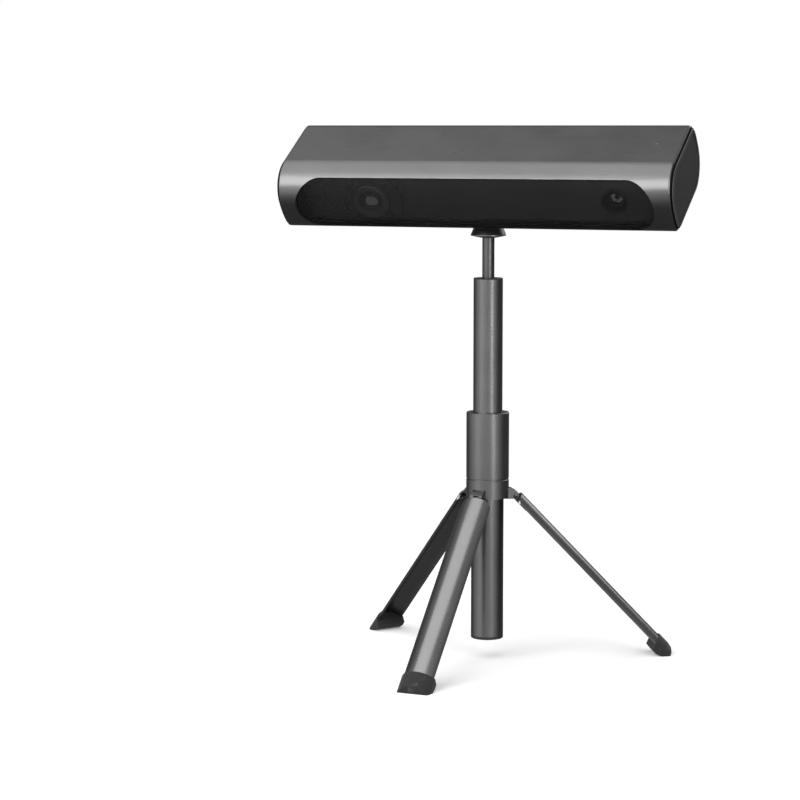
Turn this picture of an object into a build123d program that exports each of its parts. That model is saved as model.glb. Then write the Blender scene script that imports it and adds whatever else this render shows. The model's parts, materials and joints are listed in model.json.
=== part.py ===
from build123d import *
import os
from math import asin, cos, pi, radians, sin, sqrt

# Bar-shaped 3-D scanner on a folding mini tripod. Millimetres, Z up, X along the bar, -Y in front.
# The stand is drawn about its own column with the floor at Z = 0. The bar is drawn level, about the middle
# of its section (Y = depth, Z = height), and then placed on the ball. At the end the whole model moves
# along Y, so that its origin is the middle of its footprint.

# ---- bar housing
bar_length = 257.0
bar_depth = 70.0
bar_height = 41.4
nose_radius = 20.0          # round edge from the top into the front, and from the bottom into the back
face_radius = 50.0          # gentle curve of the front and of the back
corner_radius = 7.0         # tight edges: front bottom and back top
cover_wall = 1.6
seam_gap = 0.2
front_seam_y = -24.0        # seam between the two covers, under the bar
rear_seam_z = 15.2          # the same seam, at the back
end_round = 1.2             # rounding of the housing's two end edges

# ---- window
window_length = 235.6
window_top = bar_height / 2 - 4.7
window_bottom = -bar_height / 2 + 1.85
window_recess = 0.35
window_thickness = 2.0
window_gap = 0.12
gasket_width = 2.5
gasket_thickness = 0.9

# ---- end caps
cap_gap = 1.2               # wall of the rubber seal round each cap's plug
cap_inset = 1.9             # cap's face inside the housing's outline
cap_proud = 1.5             # cap's face outside the housing's end
cap_plate = 0.5
cap_thickness = 5.5
cap_bevel = 0.45
cap_rim = 2.4
cap_corner_radius = 6.5
panel_thickness = 1.1
panel_set_back = 0.35       # panel below the cap's face
seal_depth = 2.6            # seal inside the housing

# ---- optics, on one level
optics_z = -2.9
projector_x = -69.5
camera_x = 90.0
baffle_behind = 3.0         # light baffle behind the glass, at the window's top
baffle_short = 1.8          # baffle stops this far below the window's top
baffle_thickness = 1.2
bezel_radius = 20.4
bezel_thickness = 1.8
barrel_radius = 11.4
barrel_proud = 1.4          # projector barrel in front of its bezel
barrel_mouth_radius = 8.6
barrel_behind = 3.0         # projector barrel behind its baffle
projector_glass_radius = 6.5
camera_recess_radius = 8.6
camera_barrel_radius = 6.6
camera_glass_radius = 4.4
camera_set_back = 2.2       # camera barrel behind the baffle's front
camera_barrel_length = 12.0
camera_board_thickness = 1.4
bezel_screw_circle = 16.2
bezel_screw_radius = 1.5

# ---- inside the bar
chassis_thickness = 2.0
chassis_front_y = -20.0
chassis_rear_y = 16.0
chassis_margin = 12.0       # from the bar's end to the chassis's end
inner_gap = 0.1             # clearance between pieces that are stacked or screwed together
board_z = -9.5
board_thickness = 1.6
board_x = (-42.0, 72.0)
board_y = (-14.0, 27.0)
post_radius = 2.2
projector_size = (38.0, 27.0, 26.0)
fan_size = 25.0
fan_thickness = 7.0
fan_blades = 7
fan_tip_gap = 0.5
fan_rear_y = 27.6
vent_count = 9
vent_width = 1.5
vent_pitch = 2.9
vent_height = 17.0
fan_z = -1.0

# ---- sockets, button and light at the back and on top
usb_x = 22.0
usb_size = (9.0, 7.4, 3.3)
power_x = 42.0
power_size = (9.0, 12.0, 8.0)
power_bore = 2.9
power_lip = 0.9             # wall round the power socket's bore
mouth_set_back = 0.3        # socket mouths behind the housing's back
socket_gap = 0.25
button_z = 4.0
button_radius = 5.5
button_gap = 0.3
button_travel = 1.0
button_proud = 0.6
light_x = 112.0
light_y = 6.0
light_radius = 1.1

# ---- screwed joint between bar and stand (1/4 inch camera thread)
thread_radius = 3.175
thread_gap = 0.05
thread_length = 6.4
socket_y = -11.85           # socket under the bar, ahead of its middle
insert_radius = 5.5
insert_height = 8.0

# ---- ball joint
bar_tilt = 31.3             # degrees nose down at rest
ball_radius = 5.0
ball_gap = 0.08
ball_to_bar = 8.6
neck_radius = 2.2
flange_radius = 8.0
flange_thickness = 1.5
pad_thickness = 0.7
cup_rim_radius = 11.23
cup_top_radius = 7.7
cup_rim_height = 1.9        # widest place above the cup's bottom
cup_floor = 2.4
cup_lip = 1.8               # how far the ring closes over the ball's middle
pan_stem_radius = 2.3
pan_stem_length = 14.0
running_gap = 0.05          # shafts that turn or slide

# ---- legs
leg_count = 3
leg_splay = 43.7            # degrees from the vertical when open
leg_reach = 143.3           # hinge pin to the middle of the sole, along the leg
sole_drop = 2.0
leg_turn = -93.0            # direction of the first leg, degrees from +X
leg_radius = 11.5           # outside of the leg's curved section
leg_depth = 6.0
leg_wall = 1.2
leg_apex = 4.4              # back of the leg above the hinge pin
leg_start = 2.35
leg_end_gap = 3.0           # metal ends this far short of the middle of the sole
shoulder_length = 3.6
foot_wall = 0.9
foot_half_width = 10.9
tongue_width = 3.1
tongue_radius = 1.9
tongue_length = 16.0
pin_radius = 1.0

# ---- hub and tubes
lower_tube_radius = 10.36
lower_tube_wall = 0.8
hub_wall = 3.27             # hub and collar outside the lower tube
hinge_out = 3.77            # hinge pins outside the hub
hub_height = 12.2
hub_below_pin = 1.0
ear_width = 8.2
ear_slot_gap = 0.1
ear_below_pin = 1.9
ear_tip_radius = 2.1
groove_height = 0.7
groove_depth = 0.6
spigot_wall = 1.84
spigot_height = 7.0
lower_tube_length = 132.0
collar_height = 42.7
collar_wall_gap = 0.5
collet_height = 9.5
telescope_gap = 0.235       # between the mid tube and the lower tube's bore
mid_tube_wall = 0.8
mid_tube_out = 85.4         # above the collar
mid_tube_in = 30.6          # hidden below the collar's top
tube_slack = 0.3            # loose clearance where a tube only passes
rod_radius = 3.86
rod_bore_radius = 2.4
rod_out = 25.4              # between the mid tube and the ball cup
rod_in = 36.0
bush_length = 8.0
bush_rim = 0.8
guide_length = 5.0

# ---- places worked out from the sizes above
hub_radius = lower_tube_radius + hub_wall
hinge_r = hub_radius + hinge_out
spigot_radius = lower_tube_radius + spigot_wall
mid_tube_radius = lower_tube_radius - lower_tube_wall - telescope_gap
splay = radians(leg_splay)
pin_z = leg_reach * cos(splay) + sole_drop * sin(splay)
sole_r = hinge_r + leg_reach * sin(splay) - sole_drop * cos(splay)
hub_bottom = pin_z - hub_below_pin
collar_bottom = hub_bottom + hub_height
collar_top = collar_bottom + collar_height
mid_tube_top = collar_top + mid_tube_out
cup_bottom = mid_tube_top + rod_out
ball_z = cup_bottom + cup_floor + ball_gap + ball_radius
lower_tube_inner = lower_tube_radius - lower_tube_wall
mid_tube_inner = mid_tube_radius - mid_tube_wall
collet_bottom = collar_top - 2.4 - inner_gap - collet_height
lower_tube_bottom = collet_bottom - inner_gap - lower_tube_length

tilt = radians(bar_tilt)
ball_below_middle = bar_height / 2 + ball_to_bar
bar_y = -(socket_y * cos(tilt) + ball_below_middle * sin(tilt))
bar_z = ball_z - socket_y * sin(tilt) + ball_below_middle * cos(tilt)
bar_place = Location((0, bar_y, bar_z), (bar_tilt, 0, 0))

cap_face_x = bar_length / 2 + cap_proud
inside_bottom = -bar_height / 2 + cover_wall
chassis_bottom = inside_bottom + inner_gap
chassis_top = chassis_bottom + chassis_thickness
board_top = board_z + board_thickness / 2
usb_z = board_top + inner_gap + usb_size[2] / 2
power_z = board_top + inner_gap + power_size[2] / 2
leg_angles = [leg_turn + 360.0 / leg_count * i for i in range(leg_count)]
leg_names = ["front", "right", "left"]


def front_y(z, inset):
    """Front of the bar's section, shrunk by inset, at a height."""
    level = bar_height / 2 - nose_radius
    radius = nose_radius if z > level else face_radius
    return -bar_depth / 2 + radius - sqrt((radius - inset) ** 2 - (z - level) ** 2)


def back_y(z, inset):
    return -front_y(-z, inset)


baffle_top = window_top - baffle_short
baffle_y = front_y(baffle_top, window_recess + window_thickness) + baffle_behind


def block(x, y, z):
    """Box between two values along each axis."""
    size = (x[1] - x[0], y[1] - y[0], z[1] - z[0])
    middle = ((x[0] + x[1]) / 2, (y[0] + y[1]) / 2, (z[0] + z[1]) / 2)
    return Pos(*middle) * Box(*size)


def tube(outer, inner, bottom, top):
    """Upright ring or tube about the column."""
    ring = Circle(outer) - Circle(inner) if inner else Circle(outer)
    return extrude(Pos(0, 0, bottom) * ring, top - bottom)


def turned(*points):
    """Solid of revolution about the column from (radius, height) points."""
    outline = Polyline(*points, close=True)
    return revolve(make_face(Plane.XZ * outline), Axis.Z, 360)


def rod_along_y(x, z, radius, start, end):
    """Round bar along the bar's depth."""
    disc = Plane((x, start, z), x_dir=(1, 0, 0), z_dir=(0, 1, 0)) * Circle(radius)
    return extrude(disc, end - start)


# ------------------------------------------------------------------ bar section and covers

def bar_section(inset, corner):
    """Section of the bar, shrunk by inset. Turning it half a turn gives the same shape."""
    half = bar_height / 2 - inset
    small = nose_radius - inset
    large = face_radius - inset
    nose_y = -bar_depth / 2 + nose_radius
    face_y = -bar_depth / 2 + face_radius
    level = bar_height / 2 - nose_radius
    turn = asin((level + half) / large)
    top = (nose_y, half)
    nose_mid = (nose_y - small * cos(pi / 4), level + small * sin(pi / 4))
    face_top = (nose_y - small, level)
    face_mid = (face_y - large * cos(turn / 2), level - large * sin(turn / 2))
    edge = (face_y - large * cos(turn), -half)

    def back(point):
        return (-point[0], -point[1])

    lines = [
        ThreePointArc(top, nose_mid, face_top),
        ThreePointArc(face_top, face_mid, edge),
        Line(edge, back(top)),
        ThreePointArc(back(top), back(nose_mid), back(face_top)),
        ThreePointArc(back(face_top), back(face_mid), back(edge)),
        Line(back(edge), top),
    ]
    face = make_face(lines)
    tight = face.vertices().sort_by_distance(Vertex(*edge, 0))[:1]
    tight += face.vertices().sort_by_distance(Vertex(*back(edge), 0))[:1]
    return fillet(tight, corner)


def bar_solid(inset, corner, half_length):
    return extrude(Plane.YZ * bar_section(inset, corner), half_length, both=True)


def bar_slice(inset, corner, start, end):
    """Piece of the bar's section between two places along X."""
    return extrude(Plane.YZ.offset(start) * bar_section(inset, corner), end - start)


def covers_shell():
    half = bar_length / 2
    outer = bar_solid(0, corner_radius, half)
    outer = fillet(outer.faces().sort_by(Axis.X)[0].edges(), end_round)
    outer = fillet(outer.faces().sort_by(Axis.X)[-1].edges(), end_round)
    return outer - bar_solid(cover_wall, corner_radius - cover_wall, half + 1)


def window_prism(grow, rear_y):
    """The window's outline, run through the front wall."""
    height = window_top - window_bottom + 2 * grow
    middle = (window_top + window_bottom) / 2
    front = -bar_depth / 2 - 5
    plane = Plane((0, front, middle), x_dir=(1, 0, 0), z_dir=(0, -1, 0))
    return extrude(plane * SlotOverall(window_length + 2 * grow, height), front - rear_y)


def front_side():
    """Space that the front cover takes: ahead of the lower seam, or above the rear one."""
    far = bar_length
    return block((-far, far), (-far, front_seam_y), (-far, far)) + block((-far, far), (-far, far), (rear_seam_z, far))


def front_cover(shell):
    cover = shell & front_side()
    cover -= window_prism(0, -22.0)
    return cover - Pos(light_x, light_y, 0) * Cylinder(light_radius + inner_gap, 2 * bar_height)


def cover_screw_places():
    """Four screws under the bar."""
    x = bar_length / 2 - chassis_margin - 8
    return [(sx * x, y) for sx in (-1, 1) for y in (-14.0, 11.0)]


def vent_places():
    """Middles of the vent slots along X, centred on the fan."""
    return [projector_x + (i - (vent_count - 1) / 2) * vent_pitch for i in range(vent_count)]


def low_vent(x, height):
    """One slot under the bar, cut upwards from below it."""
    below = Plane((x, 2.0, -25.0), x_dir=(0, 1, 0), z_dir=(0, 0, 1)) * SlotOverall(vent_height, vent_width)
    return extrude(below, height)


def rear_cover(shell):
    far = bar_length
    low_space = block((-far, far), (front_seam_y + seam_gap, far), (-far, rear_seam_z - seam_gap))
    cover = shell & low_space
    cover -= block(
        (usb_x - usb_size[0] / 2 - socket_gap, usb_x + usb_size[0] / 2 + socket_gap),
        (25.0, 40.0),
        (usb_z - usb_size[2] / 2 - socket_gap, usb_z + usb_size[2] / 2 + socket_gap),
    )
    cover -= rod_along_y(power_x, power_z, power_bore + power_lip + socket_gap, 25.0, 40.0)
    cover -= rod_along_y(0, button_z, button_radius + button_gap, 25.0, 40.0)
    for x in vent_places():
        slot = Plane((x, 40.0, fan_z), x_dir=(0, 0, 1), z_dir=(0, 1, 0)) * SlotOverall(vent_height, vent_width)
        cover -= extrude(slot, -15.0)
        cover -= low_vent(x, 7.0)
    cover -= Pos(0, socket_y, -bar_height / 2) * Cylinder(insert_radius + inner_gap, 8)
    for x, y in cover_screw_places():
        cover -= Pos(x, y, -bar_height / 2) * Cylinder(2.6, 8)
    return cover


def window_glass():
    shell = bar_solid(window_recess, corner_radius - window_recess, bar_length / 2)
    inside = window_recess + window_thickness
    shell -= bar_solid(inside, corner_radius - inside, bar_length / 2)
    return shell & window_prism(-window_gap, -26.0)


def window_gasket():
    depth = cover_wall + inner_gap
    shell = bar_solid(depth, corner_radius - depth, bar_length / 2 - 5)
    shell -= bar_solid(depth + gasket_thickness, corner_radius - depth - gasket_thickness, bar_length / 2 - 5)
    return (shell & window_prism(gasket_width, -23.0)) - window_prism(-inner_gap / 2, -22.0)


# ------------------------------------------------------------------ end caps

def end_cap():
    """Cap that closes the right end: a thin face outside the covers, and a plug inside them."""
    inset = cap_inset + cap_rim
    plate = bar_slice(cap_inset, cap_corner_radius, cap_face_x - cap_plate, cap_face_x)
    plate = chamfer(plate.faces().sort_by(Axis.X)[-1].edges(), cap_bevel)
    plug = bar_slice(cover_wall + cap_gap, cap_corner_radius, cap_face_x - cap_thickness, cap_face_x - cap_plate)
    sunk = cap_face_x - panel_set_back - panel_thickness - inner_gap / 2
    return plate + plug - bar_slice(inset, cap_corner_radius - 2, sunk, cap_face_x + 1)


def end_panel():
    outer_x = cap_face_x - panel_set_back
    inset = cap_inset + cap_rim + inner_gap
    return bar_slice(inset, cap_corner_radius - 2 - inner_gap, outer_x - panel_thickness, outer_x)


def end_gasket():
    """Rubber seal round the cap's plug, which shows between the housing and the cap's face."""
    inner_x = bar_length / 2 - seal_depth
    outer_x = cap_face_x - cap_plate - inner_gap / 2
    ring = bar_slice(cover_wall + 0.04, corner_radius - cover_wall - 0.04, inner_x, outer_x)
    return ring - bar_slice(cover_wall + cap_gap - 0.04, cap_corner_radius, inner_x - 1, outer_x + 1)


# ------------------------------------------------------------------ optics

def baffle_rear():
    return baffle_y + baffle_thickness


def light_baffle():
    """Black plate behind the window that hides the inside."""
    end = window_length / 2 - 2.8
    plate = block((-end, end), (baffle_y, baffle_rear()), (window_bottom + 2.1, baffle_top))
    plate -= rod_along_y(projector_x, optics_z, barrel_radius + 0.4, -30.0, -20.0)
    return plate - rod_along_y(camera_x, optics_z, camera_recess_radius + 0.9, -30.0, -20.0)


def bezel_screw_places():
    angles = [radians(45 + 90 * i) for i in range(4)]
    points = [(projector_x + bezel_screw_circle * cos(a), optics_z + bezel_screw_circle * sin(a)) for a in angles]
    return points


def projector_bezel():
    rear = baffle_y - inner_gap
    front = rear - bezel_thickness
    plate = rod_along_y(projector_x, optics_z, bezel_radius, front, rear)
    plate &= block((-bar_length, bar_length), (-40.0, 0.0), (optics_z - 13.5, baffle_top - 0.2))
    plate -= rod_along_y(projector_x, optics_z, barrel_radius + inner_gap, -40.0, 0.0)
    groove = rod_along_y(projector_x, optics_z, bezel_radius - 1.6, front - 1, front + 0.7)
    groove -= rod_along_y(projector_x, optics_z, barrel_radius + 1.8, front - 1, front + 0.7)
    plate -= groove
    for x, z in bezel_screw_places():
        plate -= rod_along_y(x, z, bezel_screw_radius + inner_gap, -40.0, 0.0)
    return plate


def bezel_screws():
    rear = baffle_y - inner_gap
    head = rear - bezel_thickness * 0.7
    screws = [rod_along_y(x, z, bezel_screw_radius, head, rear) for x, z in bezel_screw_places()]
    return Compound(children=screws)


def projector_barrel():
    front = baffle_y - inner_gap - bezel_thickness - barrel_proud
    rear = baffle_rear() + barrel_behind
    outline = [
        (barrel_mouth_radius, front),
        (barrel_radius - 0.5, front),
        (barrel_radius, front + 0.5),
        (barrel_radius, rear),
        (projector_glass_radius - 0.8, rear),
        (projector_glass_radius - 0.8, front + 4.6),
        (projector_glass_radius + inner_gap, front + 4.6),
        (projector_glass_radius + inner_gap, front + 3.0),
        (barrel_mouth_radius - 0.9, front + 2.6),
    ]
    return lens_turned(projector_x, outline)


def lens_turned(x, outline):
    """Round piece about a lens axis from (radius, depth) points."""
    face = make_face(Plane.XY * Polyline(*outline, close=True))
    return Pos(x, 0, optics_z) * revolve(face, Axis.Y, 360)


def domed_glass(x, radius, front, thickness, rise):
    """Lens with a domed front and a flat back."""
    sphere_r = (radius ** 2 + rise ** 2) / (2 * rise)
    disc = rod_along_y(x, optics_z, radius, front, front + rise + thickness)
    return disc & Pos(x, front + sphere_r, optics_z) * Sphere(sphere_r)


def projector_glass():
    front = baffle_y - inner_gap - bezel_thickness - barrel_proud + 2.2
    return domed_glass(projector_x, projector_glass_radius, front, 1.3, 1.0)


def projector_module():
    """Light engine behind the projector's barrel."""
    wide, deep, high = projector_size
    front = baffle_rear() + barrel_behind + inner_gap
    low = chassis_top + inner_gap
    body = block((projector_x - wide / 2, projector_x + wide / 2), (front, front + deep), (low, low + high))
    body = chamfer(body.edges().filter_by(Axis.Y), 1.0)
    shaft = rod_along_y(projector_x, optics_z, 3.0, front - 1.0, front + 2.0)
    return body + shaft


def camera_liner():
    front = baffle_y - 1.0
    rear = baffle_rear() + 5.0
    inner = camera_recess_radius
    outer = inner + 0.8
    return lens_turned(camera_x, [(inner, front), (outer, front), (outer, rear), (inner, rear)])


def camera_barrel():
    front = baffle_y + camera_set_back
    rear = front + camera_barrel_length
    r = camera_barrel_radius
    g = camera_glass_radius
    outline = [
        (g + 0.9, front),
        (r - 0.4, front),
        (r, front + 0.4),
        (r, rear),
        (g - 0.6, rear),
        (g - 0.6, front + 3.4),
        (g + inner_gap, front + 3.4),
        (g + inner_gap, front + 1.6),
    ]
    return lens_turned(camera_x, outline)


def camera_glass():
    return domed_glass(camera_x, camera_glass_radius, baffle_y + camera_set_back + 0.5, 1.2, 1.3)


def camera_board():
    """Sensor board behind the camera lens, with its lens mount and foot."""
    front = baffle_y + camera_set_back + camera_barrel_length + inner_gap
    sensor_y = front + camera_board_thickness
    low = chassis_top + inner_gap
    board = block((camera_x - 15, camera_x + 15), (front, sensor_y), (low, 11.0))
    sensor = block((camera_x - 6, camera_x + 6), (sensor_y, sensor_y + 1.6), (optics_z - 6, optics_z + 6))
    foot = block((camera_x - 15, camera_x + 15), (sensor_y, front + 9.0), (low, low + 2.0))
    return board + sensor + foot


# ------------------------------------------------------------------ chassis, boards and cooling

def chassis():
    """Metal tray that carries everything in the bar."""
    end = bar_length / 2 - chassis_margin
    tray = block((-end, end), (chassis_front_y, chassis_rear_y), (chassis_bottom, chassis_top))
    lip = block((-end, end), (chassis_rear_y - 1.5, chassis_rear_y), (chassis_top, chassis_top + 3.0))
    tray += lip
    tray -= Pos(0, socket_y, chassis_bottom) * Cylinder(insert_radius + inner_gap, 12)
    for x, y in cover_screw_places():
        tray -= Pos(x, y, chassis_bottom) * Cylinder(1.25, 12)
    for x in vent_places():
        tray -= low_vent(x, 12.0)
    return tray


def cover_screws():
    """Countersunk screws that hold the rear cover to the chassis."""
    head = bar_height / 2
    screws = []
    for x, y in cover_screw_places():
        screw = turned((0, -head + 0.2), (2.4, -head + 0.2), (2.4, -head + 0.7), (1.15, -head + 1.6),
                       (1.15, chassis_top), (0, chassis_top))
        recess = Pos(0, 0, -head) * extrude(RegularPolygon(0.9, 6), 0.9)
        screws.append(Pos(x, y, 0) * (screw - recess))
    return Compound(children=screws)


def post_places():
    x = (board_x[0] + 4, board_x[1] - 4)
    y = (board_y[0] + 4, chassis_rear_y - 5.0)
    return [(a, b) for a in x for b in y]


def board_posts():
    low = chassis_top + inner_gap
    high = board_z - board_thickness / 2 - inner_gap
    posts = [Pos(x, y, (low + high) / 2) * Cylinder(post_radius, high - low) for x, y in post_places()]
    return Compound(children=posts)


def main_board():
    board = block(board_x, board_y, (board_z - board_thickness / 2, board_top))
    chips = [
        ((-6, 10), (-8, 8), 1.6),
        ((14, 24), (-6, 4), 1.2),
        ((-24, -14), (-6, 6), 1.2),
        ((-36, -30), (6, 12), 3.0),
        ((30, 37), (-10, -3), 2.6),
        ((56, 64), (-8, 2), 4.0),
    ]
    for x, y, height in chips:
        board += block(x, y, (board_top, board_top + height))
    return board


def heat_sink():
    """Finned block between the light engine and the fan."""
    wide, deep, high = projector_size
    base_y = baffle_rear() + barrel_behind + deep + 2 * inner_gap
    fin_end = fan_rear_y - fan_thickness - 0.5
    low = chassis_top + 4.0
    top = low + high - 3.0
    sink = block((projector_x - 16, projector_x + 16), (base_y, base_y + 2.0), (low, top))
    for i in range(9):
        x = projector_x - 16 + 4.0 * i - 0.6 + (0.6 if i == 0 else 0) - (0.6 if i == 8 else 0)
        sink += block((x, x + 1.2), (base_y + 1.0, fin_end), (low, top))
    return sink


def fan_frame():
    half = fan_size / 2
    front = fan_rear_y - fan_thickness
    frame = block((projector_x - half, projector_x + half), (front, fan_rear_y), (fan_z - half, fan_z + half))
    frame = fillet(frame.edges().filter_by(Axis.Y), 2.5)
    bore = Pos(0, 0, fan_z - optics_z) * rod_along_y(projector_x, optics_z, half - 0.8, front - 1, fan_rear_y + 1)
    frame -= bore
    reach = half - 0.5
    strut = block((projector_x - reach, projector_x + reach), (front, front + 0.8), (fan_z - 0.8, fan_z + 0.8))
    upright = block((projector_x - 0.8, projector_x + 0.8), (front, front + 0.8), (fan_z - reach, fan_z + reach))
    spindle = Pos(0, 0, fan_z - optics_z) * rod_along_y(projector_x, optics_z, 1.0, front, fan_rear_y - 1.2)
    return frame + strut + upright + spindle


def fan_rotor():
    """Hub and blades that turn on the fan's spindle."""
    front = fan_rear_y - fan_thickness + 1.2
    rear = fan_rear_y - 0.6
    tip = fan_size / 2 - 0.8 - fan_tip_gap
    place = Pos(0, 0, fan_z - optics_z)
    hub = place * rod_along_y(projector_x, optics_z, 5.0, front, rear)
    for i in range(fan_blades):
        blade = Pos((5.0 + tip) / 2 - 0.3, 0, 0) * Box(tip - 4.4, 4.2, 0.7)
        blade = Rot(32, 0, 0) * blade
        turn = Rot(0, 360.0 / fan_blades * i, 0)
        hub += Pos(projector_x, (front + rear) / 2, fan_z) * turn * blade
    return hub - place * rod_along_y(projector_x, optics_z, 1.0 + running_gap, front - 1, rear - 0.5)


def camera_flex():
    """Flat cable from the sensor board to the main board."""
    front = baffle_y + camera_set_back + camera_barrel_length + inner_gap + 3.2
    top = board_top + inner_gap
    points = [(camera_x - 5, -1.0), (78.0, -1.0), (70.0, top), (60.0 + 5, top)]
    thick = 0.35
    upper = [(x, z + thick) for x, z in reversed(points)]
    plane = Plane((0, front, 0), x_dir=(1, 0, 0), z_dir=(0, -1, 0))
    strip = make_face(plane * Polyline(*points, *upper, close=True))
    return extrude(strip, 8.0, dir=(0, 1, 0))


# ------------------------------------------------------------------ sockets, button, light

def usb_socket():
    wide, deep, high = usb_size
    rear = back_y(usb_z - high / 2, 0) - mouth_set_back
    body = block((usb_x - wide / 2, usb_x + wide / 2), (rear - deep, rear), (usb_z - high / 2, usb_z + high / 2))
    body = fillet(body.edges().filter_by(Axis.Y), 1.3)
    hollow = block((usb_x - wide / 2 + 0.35, usb_x + wide / 2 - 0.35), (rear - 6.4, rear + 1),
                   (usb_z - high / 2 + 0.35, usb_z + high / 2 - 0.35))
    hollow = fillet(hollow.edges().filter_by(Axis.Y), 1.0)
    tongue = block((usb_x - 3.2, usb_x + 3.2), (rear - 6.8, rear - 1.0), (usb_z - 0.35, usb_z + 0.35))
    return body - hollow + tongue


def power_socket():
    wide, deep, high = power_size
    rear = 30.0
    sides = (power_x - wide / 2, power_x + wide / 2)
    body = block(sides, (rear - deep, rear), (power_z - high / 2, power_z + high / 2))
    face = back_y(power_z - power_bore - power_lip, 0) - mouth_set_back
    mouth = rod_along_y(power_x, power_z, power_bore + power_lip, rear - 1, face)
    body += mouth
    body -= rod_along_y(power_x, power_z, power_bore, rear - 9.0, face + 1)
    return body + rod_along_y(power_x, power_z, 0.95, rear - 9.5, face - 1.0)


def scan_button():
    face = back_y(button_z, 0) + button_proud
    cap = rod_along_y(0, button_z, button_radius, face - 5.6, face)
    cap = fillet(cap.faces().sort_by(Axis.Y)[-1].edges(), 0.7)
    flange = rod_along_y(0, button_z, button_radius + 1.2, face - 6.6, face - 5.4)
    stem = rod_along_y(0, button_z, 1.4, face - 8.2, face - 6.0)
    return cap + flange + stem


def button_spring():
    """Return spring round the button's stem, shown at its pressed length."""
    face = back_y(button_z, 0) + button_proud
    length = 2.2
    start = face - 6.6 - button_travel - 0.2 - length
    line = Helix(pitch=0.72, height=length - 0.5, radius=2.6)
    section = Plane(origin=line @ 0, z_dir=line % 0) * Circle(0.2)
    coil = sweep(section, path=line)
    return Pos(0, start + 0.25, button_z) * Rot(-90, 0, 0) * coil


def button_board():
    """Small upright board with the push switch."""
    face = back_y(button_z, 0) + button_proud
    front = face - 8.2 - button_travel - 3.0
    board = block((-8.0, 8.0), (front, front + 1.2), (board_top + inner_gap, button_z + 6.5))
    switch = block((-1.6, 1.6), (front + 1.2, front + 2.2), (button_z - 1.6, button_z + 1.6))
    return board + switch + rod_along_y(0, button_z, 0.9, front + 2.2, front + 2.85)


def status_light():
    """Light pipe in the top, flush with it."""
    top = bar_height / 2
    pipe = Pos(light_x, light_y, top - 3.0) * Cylinder(light_radius, 5.9)
    return pipe + Pos(light_x, light_y, top - cover_wall - 0.7) * Cylinder(light_radius + 1.2, 1.2)


def tripod_insert():
    """Threaded insert under the bar, with a flange on the chassis."""
    bottom = -bar_height / 2 + 0.1
    body = tube(insert_radius, 0, bottom, bottom + insert_height)
    body += tube(insert_radius + 2.5, 0, chassis_top + inner_gap, chassis_top + inner_gap + 1.6)
    body -= tube(thread_radius + thread_gap, 0, bottom - 1, bottom + insert_height - 1.2)
    return Pos(0, socket_y, 0) * body


# ------------------------------------------------------------------ ball joint

def ball_stud():
    """Ball, neck, flange and camera screw in one piece, drawn upright about the ball's centre."""
    flange_low = ball_to_bar - pad_thickness - flange_thickness
    flange_top = flange_low + flange_thickness
    neck = tube(neck_radius, 0, 0, flange_low + 0.5)
    flange = tube(flange_radius, 0, flange_low, flange_top)
    flange = chamfer(flange.faces().sort_by(Axis.Z)[0].edges(), 0.5)
    screw = tube(thread_radius, 0, flange_top, ball_to_bar + thread_length)
    screw = chamfer(screw.faces().sort_by(Axis.Z)[-1].edges(), 0.6)
    return Sphere(ball_radius) + neck + flange + screw


def mount_pad():
    return tube(flange_radius + 0.3, thread_radius + thread_gap, ball_to_bar - pad_thickness, ball_to_bar)


def on_ball(piece):
    """Place a piece drawn upright about the ball's centre, leaning as the bar does."""
    return Location((0, 0, ball_z), (bar_tilt, 0, 0)) * piece


def cup_outline_radius(height):
    """Outside of the cup at a height above its bottom."""
    top = ball_z + cup_lip - cup_bottom
    slope = (cup_rim_radius - cup_top_radius - 0.9) / (top - 0.9 - cup_rim_height)
    return cup_rim_radius - slope * (height - cup_rim_height)


def ball_cup():
    """Cup that holds the lower half of the ball and turns on the rod."""
    split = ball_z - cup_bottom
    seat = ball_radius + ball_gap
    cup = turned(
        (0, cup_bottom),
        (5.0, cup_bottom),
        (cup_rim_radius - 0.5, cup_bottom + cup_rim_height - 0.7),
        (cup_rim_radius, cup_bottom + cup_rim_height - 0.5),
        (cup_rim_radius, cup_bottom + cup_rim_height),
        (cup_outline_radius(split), ball_z),
        (0, ball_z),
    )
    cup -= Pos(0, 0, ball_z) * Sphere(seat)
    return cup + tube(pan_stem_radius, 0, cup_bottom - pan_stem_length, cup_bottom)


def cup_ring():
    """Ring that closes over the ball."""
    low = ball_z + inner_gap
    top = ball_z + cup_lip
    outer_low = cup_outline_radius(low - cup_bottom)
    ring = turned((0, low), (outer_low, low), (cup_top_radius + 0.9, top - 0.9), (cup_top_radius, top), (0, top))
    ring -= Pos(0, 0, ball_z) * Sphere(ball_radius + ball_gap)
    return ring


# ------------------------------------------------------------------ telescopic column

def rod():
    bottom = mid_tube_top - rod_in
    return tube(rod_radius, rod_bore_radius, bottom, cup_bottom - inner_gap) - pan_seat()


def pan_seat():
    """Bore in the top of the rod where the cup's stem turns."""
    return tube(pan_stem_radius + running_gap, 0, cup_bottom - pan_stem_length - 1, cup_bottom)


def rod_stop():
    bottom = mid_tube_top - rod_in
    return tube(mid_tube_inner - 0.08, rod_radius + inner_gap / 2, bottom, bottom + guide_length)


def rod_bush():
    """Bush in the top of the mid tube that guides the rod."""
    top = mid_tube_top
    rim = tube(mid_tube_radius, 0, top - bush_rim, top)
    rim = chamfer(rim.faces().sort_by(Axis.Z)[-1].edges(), 0.35)
    plug = tube(mid_tube_inner - running_gap, 0, top - bush_length, top - bush_rim)
    return rim + plug - tube(rod_radius + running_gap, 0, top - bush_length - 1, top + 1)


def mid_tube():
    top = mid_tube_top - bush_rim - inner_gap / 2
    return tube(mid_tube_radius, mid_tube_inner, collar_top - mid_tube_in, top)


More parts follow.
